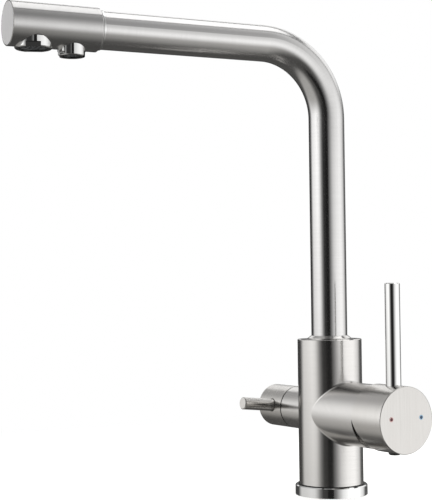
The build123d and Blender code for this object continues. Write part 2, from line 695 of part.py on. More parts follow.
def half_moon_hole(start, length):
    """The offset water hole of a filter disc."""
    bore((-start, 0, valve_height - half_moon), (-1, 0, 0), length, 2.0)


with BuildPart() as filter_fixed_disc:
    tube(valve, seat_end, filter_fixed_end, disc_radius)
    half_moon_hole(seat_end - 1, filter_disc_thickness + 2)
save(filter_fixed_disc, "filter_fixed_disc")

filter_moving_radius = disc_radius - 0.2
with BuildPart() as filter_moving_disc:
    tube(valve, filter_moving_start, filter_moving_end, filter_moving_radius)
    half_moon_hole(filter_moving_start - 1, filter_disc_thickness + 2)
save(filter_moving_disc, "filter_moving_disc")

with BuildPart() as filter_spindle:
    tube(valve, filter_moving_end, chamber_end - moving_gap, filter_moving_radius)
    tube(valve, filter_moving_end, filter_cap_floor - moving_gap, stem_radius)
    bar(valve, filter_cap_floor - moving_gap, stem_end, stem_square)
    tube(valve, filter_seal_place - filter_seal_cord * 0.6, filter_seal_place + filter_seal_cord * 0.6,
         stem_radius + 1, stem_radius - filter_seal_cord, mode=Mode.SUBTRACT)
save(filter_spindle, "filter_spindle")

with BuildPart() as filter_spindle_seal:
    o_ring(valve, filter_seal_place, stem_radius + seat_gap, filter_seal_cord)
save(filter_spindle_seal, "filter_spindle_seal")

rise = radians(filter_lever_rise)
filter_lever_axis = lathe((-filter_lever_from_axis, 0, valve_height), (0, -cos(rise), sin(rise)), (1, 0, 0))
filter_screw_axis = lathe((-filter_lever_from_axis, 0, valve_height), (0, cos(rise), -sin(rise)), (1, 0, 0))
filter_lever_seat = filter_cap_radius - 3.5
filter_stud_radius = 2.0
filter_stud_end = 5.5
filter_screw_radius = 2.0
filter_rounding = 0.8

with BuildPart() as filter_cap:
    tube(valve, filter_cap_start, filter_cap_end, filter_cap_radius)
    fillet(filter_cap.edges().filter_by(GeomType.CIRCLE).sort_by(Axis.X)[0], filter_rounding)
    tube(valve, filter_cap_start - 1, filter_cap_floor, flange_radius + moving_gap, mode=Mode.SUBTRACT)
    bar(valve, filter_cap_floor - 1, stem_end + 0.3, stem_square + 2 * seat_gap, mode=Mode.SUBTRACT)
    tube(filter_lever_axis, 0, filter_cap_radius, filter_stud_radius + seat_gap, mode=Mode.SUBTRACT)
    tube(filter_lever_axis, filter_lever_seat, filter_cap_radius + 1, filter_lever_diameter / 2 + seat_gap,
         mode=Mode.SUBTRACT)
    tube(filter_screw_axis, 0, filter_cap_radius + 1, filter_screw_radius + seat_gap, mode=Mode.SUBTRACT)
save(filter_cap, "filter_cap")

with BuildPart() as filter_lever:
    turn(filter_lever_axis, (filter_stud_end, 0), (filter_lever_tip, 0),
         (filter_lever_tip, filter_lever_diameter / 2 - 0.5),
         (filter_lever_tip - 0.5, filter_lever_diameter / 2), (filter_lever_seat, filter_lever_diameter / 2),
         (filter_lever_seat, filter_stud_radius), (filter_stud_end, filter_stud_radius))
save(filter_lever, "filter_lever")

with BuildPart() as filter_screw:
    tube(filter_screw_axis, stem_square / 2 + 0.2, filter_cap_radius - 1.5, filter_screw_radius)
save(filter_screw, "filter_screw")
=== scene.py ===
# %% [markdown]
# A kitchen mixer tap with a second, filtered water way. Its CAD model comes in as a fixed frame:
# every part is already in its place and in metres. So this lesson only dresses it, adds one thin
# black band of painted shade where the body meets the base ring, and builds the studio that
# polished metal needs.

# %% The frame
import math
import bpy
import bmesh
from mathutils import Matrix, Vector


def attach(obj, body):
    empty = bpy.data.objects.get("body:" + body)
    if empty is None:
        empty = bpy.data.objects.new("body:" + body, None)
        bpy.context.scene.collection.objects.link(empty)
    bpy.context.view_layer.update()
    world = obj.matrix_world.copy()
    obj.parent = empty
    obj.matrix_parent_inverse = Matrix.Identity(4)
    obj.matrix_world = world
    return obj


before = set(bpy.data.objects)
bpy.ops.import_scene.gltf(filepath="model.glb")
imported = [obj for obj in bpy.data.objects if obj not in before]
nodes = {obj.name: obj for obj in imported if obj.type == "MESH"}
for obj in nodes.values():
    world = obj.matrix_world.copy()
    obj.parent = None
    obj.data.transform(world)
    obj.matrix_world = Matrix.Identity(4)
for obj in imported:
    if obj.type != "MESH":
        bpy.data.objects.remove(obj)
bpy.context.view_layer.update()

MM = 0.001

# %% [markdown]
# The camera stands where the picture was taken from. Its place, height, tilt and lens were worked
# out from the outlines of the tube, the body, the levers and the head, all at once. It looks at
# the tap's axis from a heading between the mixer's side and the spout's, and stands a little to
# one side of that line, because the tap is at the right of the picture.

# %% The camera
camera_distance, camera_height, camera_offset = 891 * MM, 143.4 * MM, 78.55 * MM
camera_heading = math.radians(32.122)
camera_tilt = math.radians(1.732)
camera_roll = math.radians(-0.657)
focal_pixels, picture_height = 1272.8, 500
sensor_height = 36

camera = bpy.data.objects.new("camera", bpy.data.cameras.new("camera"))
bpy.context.scene.collection.objects.link(camera)
bpy.context.scene.camera = camera
camera.data.sensor_fit = "VERTICAL"
camera.data.sensor_height = sensor_height
camera.data.lens = focal_pixels / picture_height * sensor_height
camera.data.clip_start, camera.data.clip_end = 0.01, 100
camera_place = Vector((
    camera_distance * math.cos(camera_heading) - camera_offset * math.sin(camera_heading),
    -camera_distance * math.sin(camera_heading) - camera_offset * math.cos(camera_heading),
    camera_height))
camera.matrix_world = (
    Matrix.Translation(camera_place)
    @ Matrix.Rotation(math.pi / 2 - camera_heading, 4, "Z")
    @ Matrix.Rotation(math.pi / 2 + camera_tilt, 4, "X")
    @ Matrix.Rotation(camera_roll, 4, "Z"))
print("camera at", [round(c, 3) for c in camera_place], "lens", round(camera.data.lens, 1))

# %% [markdown]
# Colours are written as sRGB hex values, as a paint chart gives them, and Blender's sockets want
# linear light. One function does that for every colour. A second one adds any shader node, with
# its settings and with the numbers or the sockets that feed it.

# %% Two helpers for materials
black, white = [0, 0, 0, 1], [1, 1, 1, 1]
in_colour = {"data_type": "RGBA"}
smooth = {"interpolation_type": "SMOOTHSTEP"}


def linear(hex_colour):
    """A colour such as "c8c5bf" as linear red, green, blue and alpha."""
    shares = [int(hex_colour[i:i + 2], 16) / 255 for i in (0, 2, 4)]
    return [s / 12.92 if s <= 0.04045 else ((s + 0.055) / 1.055) ** 2.4 for s in shares] + [1.0]


def add(tree, kind, *feeds, stops=(), **named):
    """Adds a node and gives its first output. Feeds go to its shown sockets in order; a named value
    sets the node's own setting of that name, or else the socket (with _ for a space). Stops are
    places and grey levels on a colour ramp."""
    node = tree.nodes.new(kind)
    settings = [key for key in named if hasattr(node, key)]
    for key in settings:
        setattr(node, key, named.pop(key))
    for key, value in [*named.items(), *enumerate(feeds)]:
        shown = [s for s in node.inputs if s.enabled]
        socket = shown[key] if isinstance(key, int) else next(
            s for s in shown if s.name == key.replace("_", " "))
        if isinstance(value, bpy.types.NodeSocket):
            tree.links.new(value, socket)
        else:
            socket.default_value = value
    for number, (place, light) in enumerate(stops):
        ramp = node.color_ramp.elements
        stop = ramp[number] if number < 2 else ramp.new(place)
        stop.position = place
        stop.color = [light] * 3 + [1]
    return next((s for s in node.outputs if s.enabled), None)


print("mid grey as linear light:", [round(c, 3) for c in linear("808080")])

# %% [markdown]
# Every finish below starts the same way: a new material with an empty node tree and Object
# coordinates. It ends with a Principled shader and the output node. A finish is a function where
# several parts have it, each with its own axis or colours.

# %% A new finish
def finish(name):
    """A new material with an empty tree: the material, its tree and the Object coordinates."""
    material = bpy.data.materials.new(name)
    material.use_nodes = True
    tree = material.node_tree
    tree.nodes.clear()
    place = tree.nodes.new("ShaderNodeTexCoord").outputs["Object"]
    return material, tree, place


print("materials that came with the frame:", len(bpy.data.materials))

# %% [markdown]
# Most of this tap is brass with a brushed nickel plating. A belt or a pad turned round each part
# leaves fine rings across its axis, so light streaks along the axis, and a bright strip keeps a
# crisp edge round the part. Nickel is a little warmer and darker than chrome. The real scratches
# are about 0.05 mm apart, too fine to show, so the rings here are drawn about 0.8 mm apart.

# %% Brushed metal
ring_pitch, ring_length, ring_depth = 0.8 * MM, 25 * MM, 0.02 * MM
wear_size = 30 * MM


def brushed(name, run, colours=("dcdbda", "d0cfce"), roughness=(0.15, 0.23), painted_shade=None,
            anisotropic=0.6):
    """run gives, for a place on the part, the way that light streaks and the distance that the
    rings are counted along. The share function, where given, darkens the metal's colour by its share:
    painted shade."""
    material, tree, place = finish(name)
    streak, distance = run(tree, place)
    slow = add(tree, "ShaderNodeVectorMath", place, Scale=1 / ring_length, operation="SCALE")
    fast = add(tree, "ShaderNodeMath", distance, 1 / ring_pitch, operation="MULTIPLY")
    grain = add(tree, "ShaderNodeVectorMath", slow, fast, operation="ADD")
    rings = add(tree, "ShaderNodeTexNoise", grain, Scale=1.0, Detail=3.0, Roughness=0.65)
    wear = add(tree, "ShaderNodeTexNoise", place, Scale=1 / wear_size, Detail=2.0)
    tint = add(tree, "ShaderNodeMix", rings, linear(colours[0]), linear(colours[1]), **in_colour)
    if painted_shade:
        tint = add(tree, "ShaderNodeMix", painted_shade(tree, place), tint, black, **in_colour)
    both = add(tree, "ShaderNodeMath", rings, wear, operation="ADD")
    gloss = add(tree, "ShaderNodeMapRange", both, 0.7, 1.3, *roughness)
    relief = add(tree, "ShaderNodeBump", Strength=0.4, Distance=ring_depth, Height=rings)
    turned = add(tree, "ShaderNodeVectorTransform", streak, vector_type="VECTOR",
                 convert_from="OBJECT", convert_to="WORLD")
    shader = add(tree, "ShaderNodeBsdfPrincipled", Base_Color=tint, Metallic=1.0, Roughness=gloss,
                 Anisotropic=anisotropic, Tangent=turned, Normal=relief)
    add(tree, "ShaderNodeOutputMaterial", shader)
    return material


def round_axis(axis, centre):
    """The run of a part turned about a straight axis: along its side, and out from the middle of
    its end faces."""
    def run(tree, place):
        from_centre = add(tree, "ShaderNodeVectorMath", place, centre, operation="SUBTRACT")
        along = add(tree, "ShaderNodeVectorMath", from_centre, axis, operation="DOT_PRODUCT")
        on_axis = add(tree, "ShaderNodeVectorMath", axis, Scale=along, operation="SCALE")
        outwards = add(tree, "ShaderNodeVectorMath", from_centre, on_axis, operation="SUBTRACT")
        radius = add(tree, "ShaderNodeVectorMath", outwards, operation="LENGTH")
        distance = add(tree, "ShaderNodeMath", along, radius, operation="ADD")
        streak = add(tree, "ShaderNodeVectorMath", outwards, axis, operation="ADD")
        return streak, distance
    return run


print("rings drawn every", round(ring_pitch / MM, 2), "mm")

# %% [markdown]
# The column and the parts under it are turned about the upright axis, the valves about one that
# runs from side to side, and the head about the arm's line. The tube was brushed straight and then
# bent, so its rings are counted up the riser, round the bend and out along the arm.

# %% The brushed parts
upright, sideways = (0, 0, 1), (1, 0, 0)
swivel = math.radians(7)
spout_way = (-math.sin(swivel), -math.cos(swivel), 0)
arm_height, bend_radius, valve_height = 311.4 * MM, 50 * MM, 57 * MM
base_middle, valve_middle, head_middle = (0, 0, 0), (0, 0, valve_height), (0, 0, arm_height)
bend_start = arm_height - bend_radius


def pipe_run(tree, place):
    """The run of the bent tube."""
    out = add(tree, "ShaderNodeVectorMath", place, spout_way, operation="DOT_PRODUCT")
    height = add(tree, "ShaderNodeSeparateXYZ", place).node.outputs["Z"]
    before = add(tree, "ShaderNodeMath", bend_radius, out, operation="SUBTRACT")
    before = add(tree, "ShaderNodeMath", before, 0.0, operation="MAXIMUM")
    past = add(tree, "ShaderNodeMath", out, bend_radius, operation="SUBTRACT")
    past = add(tree, "ShaderNodeMath", past, 0.0, operation="MAXIMUM")
    above = add(tree, "ShaderNodeMath", height, bend_start, operation="SUBTRACT")
    above = add(tree, "ShaderNodeMath", above, 0.0, operation="MAXIMUM")
    rise = add(tree, "ShaderNodeMath", height, bend_start, operation="MINIMUM")
    angle = add(tree, "ShaderNodeMath", above, before, operation="ARCTAN2")
    arc = add(tree, "ShaderNodeMath", angle, bend_radius, operation="MULTIPLY")
    distance = add(tree, "ShaderNodeMath", rise, arc, operation="ADD")
    distance = add(tree, "ShaderNodeMath", distance, past, operation="ADD")
    level = add(tree, "ShaderNodeVectorMath", spout_way, Scale=above, operation="SCALE")
    lift = add(tree, "ShaderNodeCombineXYZ", Z=before)
    streak = add(tree, "ShaderNodeVectorMath", level, lift, operation="ADD")
    return streak, distance


round_column = round_axis(upright, base_middle)
round_valves = round_axis(sideways, valve_middle)
round_head = round_axis(spout_way, head_middle)
nickel_body = brushed("nickel_brushed_body", round_column, ("dcdad8", "d0cecb"), (0.17, 0.25))
nickel_pipe = brushed("nickel_brushed_pipe", pipe_run)
nickel_head = brushed("nickel_brushed_head", round_head, ("cdcccb", "c2c1c0"))
# The end cap's face is drawn near white, lighter than any nickel: painted light, so that it looks
# brightly lit.
nickel_face_painted_bright = brushed("nickel_satin_face", round_head, ("fdfcfc", "f4f3f3"), (0.46, 0.54),
                      anisotropic=0.0)
# The cartridge nut and the filter headwork, which show through the gaps round the caps, are brass drawn
# almost black: painted shade in those gaps.
painted_shade_dark_metal = brushed("brass_painted_shade_black", round_valves, ("1c1b1a", "151413"), (0.3, 0.4))
print("brushed nickel:", nickel_body.name, nickel_pipe.name, nickel_head.name, nickel_face_painted_bright.name)

# %% [markdown]
# The two caps on the valves are brushed round as well, but the mixer handle's flat face is rubbed
# straight up and down, and its colour is a little darker: painted shade that dims what it reflects.
# Where a lever enters its cap, a thin dark ring of painted shade is drawn on the cap round it.

# %% The two caps
lever_rise = math.radians(6)
mixer_lever_foot = (68.4 * MM, 0, valve_height)
mixer_lever_radius = 5.0 * MM
filter_lever_foot = (-51 * MM, 0, valve_height)
filter_lever_way = (0, -math.cos(lever_rise), math.sin(lever_rise))
filter_lever_radius = 4.35 * MM
edge_near, edge_far = 0.25 * MM, 0.5 * MM  # the dark ring's edges, from the lever's side
handle_face, face_step = 80.25 * MM, 0.3 * MM
# The handle's face is darkened by this share: painted shade.
face_painted_shade = 0.18


def painted_hole_shade(foot, way, radius):
    """Painted shade: dark where the cap lies just round a lever that stands in it, as a shaded gap would
    be.
    """
    def share(tree, place):
        from_foot = add(tree, "ShaderNodeVectorMath", place, foot, operation="SUBTRACT")
        along = add(tree, "ShaderNodeVectorMath", from_foot, way, operation="DOT_PRODUCT")
        across = add(tree, "ShaderNodeVectorMath", from_foot, way, operation="CROSS_PRODUCT")
        away = add(tree, "ShaderNodeVectorMath", across, operation="LENGTH")
        near = add(tree, "ShaderNodeMapRange", away, radius + edge_near, radius + edge_far, 0.95, 0.0)
        ahead = add(tree, "ShaderNodeMath", along, 0.0, operation="GREATER_THAN")
        return add(tree, "ShaderNodeMath", near, ahead, operation="MULTIPLY")
    return share


def handle_painted_shade(tree, place):
    """Painted shade round the lever's hole, and painted shade that darkens the face."""
    along = add(tree, "ShaderNodeSeparateXYZ", place).node.outputs["X"]
    face = add(tree, "ShaderNodeMapRange", along, handle_face, handle_face + face_step, 0.0, face_painted_shade)
    edge = painted_hole_shade(mixer_lever_foot, upright, mixer_lever_radius)(tree, place)
    return add(tree, "ShaderNodeMath", face, edge, operation="MAXIMUM")


def handle_run(tree, place):
    """Round the side as on the other cap, and straight up and down on the face."""
    streak, distance = round_valves(tree, place)
    apart = add(tree, "ShaderNodeSeparateXYZ", place).node.outputs
    face = add(tree, "ShaderNodeMath", apart["X"], handle_face, operation="GREATER_THAN")
    streak = add(tree, "ShaderNodeMix", face, streak, (0, 1, 0), data_type="VECTOR")
    distance = add(tree, "ShaderNodeMix", face, distance, apart["Y"], data_type="FLOAT")
    return streak, distance


warm_nickel = ("dcdad7", "cfccc8")
# Both caps carry painted shade: a dark ring round the lever's root, and on the handle a darkened face.
nickel_handle = brushed("nickel_brushed_handle", handle_run, warm_nickel, (0.17, 0.25), handle_painted_shade)
nickel_cap = brushed("nickel_brushed_cap", round_valves, warm_nickel, (0.20, 0.28),
                     painted_hole_shade(filter_lever_foot, filter_lever_way, filter_lever_radius))
nickel_rod = brushed("nickel_brushed_rod", round_axis(filter_lever_way, filter_lever_foot), warm_nickel)
print("caps:", nickel_handle.name, nickel_cap.name, nickel_rod.name)

# %% [markdown]
# The mixer's lever, the base ring, the ring behind the head and the two outlets are polished and
# chrome plated. Chrome is a mirror: what makes it look right is what it has to reflect, and a
# faint ripple from the polishing wheel that keeps its reflections from being ruler straight.
# Inside the outlets and in the slots of their rims the chrome's colour is darkened: painted shade.

# %% Polished chrome
chrome_colour, chrome_roughness = "e6e6e5", (0.04, 0.09)
ripple_size, ripple_depth, smear_size = 6 * MM, 0.01 * MM, 14 * MM
aerator_out, aerator_radius = 212.7 * MM, 12 * MM
nozzle_out, nozzle_radius = 187.4 * MM, 9 * MM
shade_start, shade_full = 0.6 * MM, 0.9 * MM  # how far in from an outlet's side the painted shade begins, and where it is full


def polished(name, painted_shade=None):
    """The share function, where given, darkens the metal's colour by its share: painted shade."""
    material, tree, place = finish(name)
    tint = linear(chrome_colour)
    if painted_shade:
        tint = add(tree, "ShaderNodeMix", painted_shade(tree, place), tint, black, **in_colour)
    waves = add(tree, "ShaderNodeTexNoise", place, Scale=1 / ripple_size, Detail=1.0)
    smears = add(tree, "ShaderNodeTexNoise", place, Scale=1 / smear_size, Detail=4.0, Roughness=0.7)
    gloss = add(tree, "ShaderNodeMapRange", smears, 0.35, 0.7, *chrome_roughness)
    relief = add(tree, "ShaderNodeBump", Strength=0.15, Distance=ripple_depth, Height=waves)
    shader = add(tree, "ShaderNodeBsdfPrincipled", Base_Color=tint, Metallic=1.0, Roughness=gloss,
                 Normal=relief)
    add(tree, "ShaderNodeOutputMaterial", shader)
    return material


def painted_outlet_shade(out, radius):
    """Painted shade: dark in an outlet's bore and slots. out is how far along the arm the outlet is."""
    middle = [out * c for c in spout_way]

    def share(tree, place):
        across = add(tree, "ShaderNodeVectorMath", place, middle, operation="SUBTRACT")
        across = add(tree, "ShaderNodeVectorMath", across, (1, 1, 0), operation="MULTIPLY")
        away = add(tree, "ShaderNodeVectorMath", across, operation="LENGTH")
        return add(tree, "ShaderNodeMapRange", away, radius - shade_full, radius - shade_start, 0.8, 0.0)
    return share


chrome = polished("chrome_polished")
chrome_aerator = polished("chrome_polished_aerator", painted_outlet_shade(aerator_out, aerator_radius))
chrome_nozzle = polished("chrome_polished_nozzle", painted_outlet_shade(nozzle_out, nozzle_radius))
print("chrome:", chrome.name, chrome_aerator.name, chrome_nozzle.name)

# %% [markdown]
# What is under the worktop and inside the tap is plain: turned brass, turned stainless steel,
# moulded plastics, rubber and sintered ceramic. Each one gets the marks of how it was made.

# %% Turned metals inside
raw_brass = ("c9a25c", "b58a45")
brass = brushed("brass_turned", round_column, raw_brass, (0.28, 0.42))
brass_valve = brushed("brass_turned_valves", round_valves, raw_brass, (0.28, 0.42))
steel = brushed("stainless_steel_turned", round_column, ("c4c4c2", "b4b4b2"), (0.25, 0.35))
print("turned:", brass.name, brass_valve.name, steel.name)

# %% Moulded and sintered parts inside
drift_size = 9 * MM


def moulded(name, colours, roughness, grit, depth):
    """A moulded or pressed surface: a fine grit in its relief and a slow drift in its colour."""
    material, tree, place = finish(name)
    drift = add(tree, "ShaderNodeTexNoise", place, Scale=1 / drift_size, Detail=3.0)
    tint = add(tree, "ShaderNodeMix", drift, linear(colours[0]), linear(colours[1]), **in_colour)
    grains = add(tree, "ShaderNodeTexNoise", place, Scale=1 / grit, Detail=2.0)
    gloss = add(tree, "ShaderNodeMapRange", grains, 0.3, 0.7, *roughness)
    relief = add(tree, "ShaderNodeBump", Strength=0.3, Distance=depth, Height=grains)
    shader = add(tree, "ShaderNodeBsdfPrincipled", Base_Color=tint, Roughness=gloss, Normal=relief)
    add(tree, "ShaderNodeOutputMaterial", shader)
    return material


rubber = moulded("rubber_nitrile", ("1c1c1c", "252524"), (0.55, 0.75), 0.5 * MM, 0.05 * MM)
white_plastic = moulded("acetal_white", ("ecebe6", "e2e1dc"), (0.32, 0.42), 0.6 * MM, 0.01 * MM)
grey_plastic = moulded("acetal_grey", ("4a4c4e", "424446"), (0.35, 0.5), 0.6 * MM, 0.01 * MM)
black_plastic = moulded("abs_black", ("161616", "1e1e1d"), (0.3, 0.42), 0.5 * MM, 0.01 * MM)
ceramic = moulded("alumina_lapped", ("f2efe6", "e9e6dc"), (0.18, 0.3), 0.4 * MM, 0.004 * MM)
soft_tube = moulded("polythene_tube", ("e6e7e4", "dcdedb"), (0.3, 0.4), 1.2 * MM, 0.01 * MM)
print("moulded:", rubber.name, white_plastic.name, grey_plastic.name, black_plastic.name, soft_tube.name)
print("sintered:", ceramic.name)

# %% [markdown]
# Two dots on the handle's face mark hot and cold. Each is a drop of enamel in a drilled dimple:
# thick and dark in the middle, thin and pale at its rim.

# %% The hot and cold markers
marker_face, marker_spread, marker_height = 80.6 * MM, 12.5 * MM, 58.3 * MM
thick_radius, thin_radius = 1.0 * MM, 1.35 * MM


def enamel(name, across, middle, rim):
    """across is how far the dot's centre is from the middle of the face."""
    material, tree, place = finish(name)
    centre = (marker_face, across, marker_height)
    apart = add(tree, "ShaderNodeVectorMath", place, centre, operation="DISTANCE")
    thin = add(tree, "ShaderNodeMapRange", apart, thick_radius, thin_radius, 0.0, 1.0, **smooth)
    tint = add(tree, "ShaderNodeMix", thin, linear(middle), linear(rim), **in_colour)
    shader = add(tree, "ShaderNodeBsdfPrincipled", Base_Color=tint, Roughness=0.25)
    add(tree, "ShaderNodeOutputMaterial", shader)
    return material


red_enamel = enamel("enamel_red", -marker_spread, "4c1a20", "e3b9b6")
blue_enamel = enamel("enamel_blue", marker_spread, "2f445f", "a9cde6")
print("materials so far:", len(bpy.data.materials))

# %% A finish for every CAD node
finishes = {
    nickel_body: ["spout_collar", "tap_body"],
    nickel_pipe: ["spout_tube"],
    nickel_head: ["spout_head"],
    nickel_face_painted_bright: ["head_end_cap"],
    painted_shade_dark_metal: ["cartridge_nut", "filter_headwork"],
    nickel_handle: ["handle_cap"],
    nickel_cap: ["filter_cap"],
    nickel_rod: ["filter_lever"],
    chrome: ["base_ring", "head_ring", "mixer_lever"],
    chrome_aerator: ["aerator_housing"],
    chrome_nozzle: ["filter_nozzle"],
    brass: ["fixing_nut", "fixing_shank", "spout_bush"],
    brass_valve: ["filter_spindle", "mixer_spindle"],
    steel: ["clamp_washer", "filter_screw", "handle_screw", "pivot_pin", "spout_retaining_screw"],
    rubber: ["aerator_washer", "base_gasket", "cartridge_seal", "clamp_rubber", "filter_seat_seal",
             "filter_spindle_seal", "filtered_tube_seal", "nozzle_washer", "rotor_seal", "spout_o_rings"],
    white_plastic: ["cartridge_housing", "spout_slip_rings"],
    grey_plastic: ["aerator_insert", "cartridge_rotor", "nozzle_insert", "outlet_block"],
    black_plastic: ["screw_plug"],
    ceramic: ["filter_fixed_disc", "filter_moving_disc", "fixed_ceramic_disc", "moving_ceramic_disc"],
    soft_tube: ["filtered_water_tube"],
    red_enamel: ["hot_marker"],
    blue_enamel: ["cold_marker"],
}
for material, names in finishes.items():
    for name in names:
        for patch in nodes[name].material_slots:
            patch.material = material
bare = set(nodes) - {name for names in finishes.values() for name in names}
print("nodes without a finish:", sorted(bare))

# %% [markdown]
# Between the body and the polished ring under it, a black rubber band is put where the gap between
# them lies in shade: a thin dark line of painted shade. It is one turned band: an open cylinder,
# with its top edge drawn out and in towards the body.

# %% The dark band over the base ring: painted shade
shade_band_radius, shade_band_lip = 22.75 * MM, 0.5 * MM
shade_band_low, shade_band_high = 6.6 * MM, 7.5 * MM
tolerance = 0.01 * MM


def made_of(name, shape, material):
    """An object at the origin, from a finished bmesh."""
    made = bpy.data.objects.new(name, bpy.data.meshes.new(name))
    shape.to_mesh(made.data)
    shape.free()
    made.data.materials.append(material)
    bpy.context.scene.collection.objects.link(made)
    return made


band = bmesh.new()
bmesh.ops.create_cone(band, cap_ends=False, segments=128, radius1=shade_band_radius, radius2=shade_band_radius,
                      depth=shade_band_high - shade_band_low,
                      matrix=Matrix.Translation((0, 0, (shade_band_low + shade_band_high) / 2)))
rim = [edge for edge in band.edges if all(corner.co.z > shade_band_high - tolerance for corner in edge.verts)]
lip = bmesh.ops.extrude_edge_only(band, edges=rim)["geom"]
drawn_in = [part for part in lip if isinstance(part, bmesh.types.BMVert)]
narrower = (shade_band_radius - shade_band_lip) / shade_band_radius
bmesh.ops.scale(band, vec=(narrower, narrower, 1.0), verts=drawn_in)
bmesh.ops.recalc_face_normals(band, faces=band.faces)
base_shade_band = made_of("base_ring_shade_band", band, rubber)
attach(base_shade_band, "base")
print("seal:", len(base_shade_band.data.polygons), "faces")

# %% [markdown]
# A polished thing only shows its studio. Round the tap stand two tall white screens, left and
# right of the camera, a white ceiling light behind the tap, black cloth behind the camera and dark
# strips behind the tap, which draw the thin dark lines along its edges. The world holds them all
# by direction, for glossy rays alone. The camera sees plain white, and lamps that chrome
# doesn't see give the soft shadow.

# %% The screens
world = bpy.data.worlds.new("studio")
bpy.context.scene.world = world
world.use_nodes = True
world.cycles.sampling_method = "NONE"
sky = world.node_tree
sky.nodes.clear()
direction = sky.nodes.new("ShaderNodeTexCoord").outputs["Generated"]
parts = add(sky, "ShaderNodeSeparateXYZ", direction).node.outputs
turn = add(sky, "ShaderNodeMath", parts["Y"], parts["X"], operation="ARCTAN2")
turn = add(sky, "ShaderNodeMath", turn, camera_heading, operation="ADD")
turn = add(sky, "ShaderNodeMath", turn, 1 / (2 * math.pi), 0.5, operation="MULTIPLY_ADD")
turn = add(sky, "ShaderNodeMath", turn, operation="FRACT")


def all_round(levels):
    """Ramp stops from bearings off the camera's side of the tap, in degrees, positive to its right."""
    return [(round((bearing + 180) / 360, 4), light) for bearing, light in levels]


eye_level = add(sky, "ShaderNodeValToRGB", turn, stops=all_round([
    (-180, 0.04), (-136, 0.05), (-126, 0.35), (-114, 1.15), (-73, 1.60), (-60, 1.35), (-43, 0.33),
    (-31, 0.03), (-3, 0.015), (10, 0.25), (32, 1.00), (58, 1.40), (88, 1.45), (116, 0.85), (130, 0.10)]))
upper_level = add(sky, "ShaderNodeValToRGB", turn, stops=all_round([
    (-180, 0.30), (-140, 0.60), (-95, 0.60), (-50, 0.18), (5, 0.18), (45, 0.30), (62, 0.50),
    (80, 0.80), (112, 0.80), (150, 0.30)]))
print("screens at eye level:", len(eye_level.node.color_ramp.elements), "stops")

# %% [markdown]
# The screens are dimmer above, and the left one stands taller than the right one, so their light
# leans. Behind the tap a white ceiling light begins with straight edges, which draws the crisp
# white strip along the arm. Its dark frame draws the darker line beside that strip.

# %% The ceiling light
right_hand = (math.sin(camera_heading), math.cos(camera_heading), 0)
long_edge_way, near_edge_way = (-0.958, 0.0, 0.287), (-0.04, 0.98, -0.197)
height = parts["Z"]
side = add(sky, "ShaderNodeVectorMath", direction, right_hand, operation="DOT_PRODUCT")
lean = add(sky, "ShaderNodeMath", side, 0.15, height, operation="MULTIPLY_ADD")
rise = add(sky, "ShaderNodeMapRange", lean, -0.02, 0.78, 0.0, 1.0, **smooth)
room = add(sky, "ShaderNodeMix", rise, eye_level, upper_level, **in_colour)

long_edge = add(sky, "ShaderNodeVectorMath", direction, long_edge_way, operation="DOT_PRODUCT")
near_edge = add(sky, "ShaderNodeVectorMath", direction, near_edge_way, operation="DOT_PRODUCT")
inside = add(sky, "ShaderNodeMath", long_edge, near_edge, operation="MINIMUM")
dark_frame = add(sky, "ShaderNodeMapRange", inside, -0.13, -0.04, 1.0, 0.35, **smooth)
dark_frame = add(sky, "ShaderNodeMix", rise, white, dark_frame, **in_colour)
room = add(sky, "ShaderNodeMix", 1.0, room, dark_frame, blend_type="MULTIPLY", **in_colour)
inside = add(sky, "ShaderNodeMapRange", inside, -0.02, 0.02, 0.0, 1.0, **smooth)
clear = add(sky, "ShaderNodeMapRange", height, 0.14, 0.40, 0.0, 1.0, **smooth)
covered = add(sky, "ShaderNodeMath", inside, clear, operation="MULTIPLY")
ceiling = add(sky, "ShaderNodeValToRGB", height, stops=[
    (0.30, 1.15), (0.65, 1.15), (0.69, 0.05), (0.75, 0.05), (0.79, 1.6)])
room = add(sky, "ShaderNodeMix", covered, room, ceiling, **in_colour)
print("ceiling light:", len(ceiling.node.color_ramp.elements), "stops")

# %% [markdown]
# Below, the metal sees the bench: dark, but pale and a little warm in front on the left, and grey
# at the far right.

# %% The bench, and what each ray sees
bench_dark, bench_pale, bench_grey = 0.09, 0.42, 0.60
bench_tint = [1.0, 0.985, 0.955, 1.0]
plain_level = 0.55
in_front = add(sky, "ShaderNodeMapRange", parts["Y"], -0.22, -0.52, 0.0, bench_pale, **smooth)
at_left = add(sky, "ShaderNodeMapRange", parts["X"], 0.45, -0.05, 0.0, 1.0, **smooth)
bench = add(sky, "ShaderNodeMath", in_front, at_left, bench_dark, operation="MULTIPLY_ADD")
at_right = add(sky, "ShaderNodeMapRange", side, 0.35, 0.80, bench_dark, bench_grey, **smooth)
bench = add(sky, "ShaderNodeMath", bench, at_right, operation="MAXIMUM")
bench = add(sky, "ShaderNodeMix", 1.0, bench, bench_tint, blend_type="MULTIPLY", **in_colour)
drop = add(sky, "ShaderNodeMapRange", lean, 0.0, -0.48, 0.0, 1.0, **smooth)
room = add(sky, "ShaderNodeMix", drop, room, bench, **in_colour)

ray = sky.nodes.new("ShaderNodeLightPath").outputs
plain = [plain_level] * 3 + [1.0]
seen = add(sky, "ShaderNodeMix", ray["Is Glossy Ray"], plain, room, **in_colour)
direct = add(sky, "ShaderNodeMath", ray["Is Camera Ray"], ray["Is Transmission Ray"],
             operation="MAXIMUM")
seen = add(sky, "ShaderNodeMix", direct, seen, white, **in_colour)
glow = add(sky, "ShaderNodeBackground", seen, 1.0)
add(sky, "ShaderNodeOutputWorld", glow)
bpy.context.scene.view_settings.view_transform = "Standard"
print("world nodes:", len(sky.nodes))

# %% Lamps for the shadow
tap_middle = Vector((0, 0, 150 * MM))


def way_to(bearing, elevation=0):
    """The direction at a bearing off the camera's side of the tap, both angles in degrees."""
    heading = math.radians(bearing) - camera_heading
    level = math.radians(elevation)
    return Vector((math.cos(heading) * math.cos(level), math.sin(heading) * math.cos(level),
                   math.sin(level)))


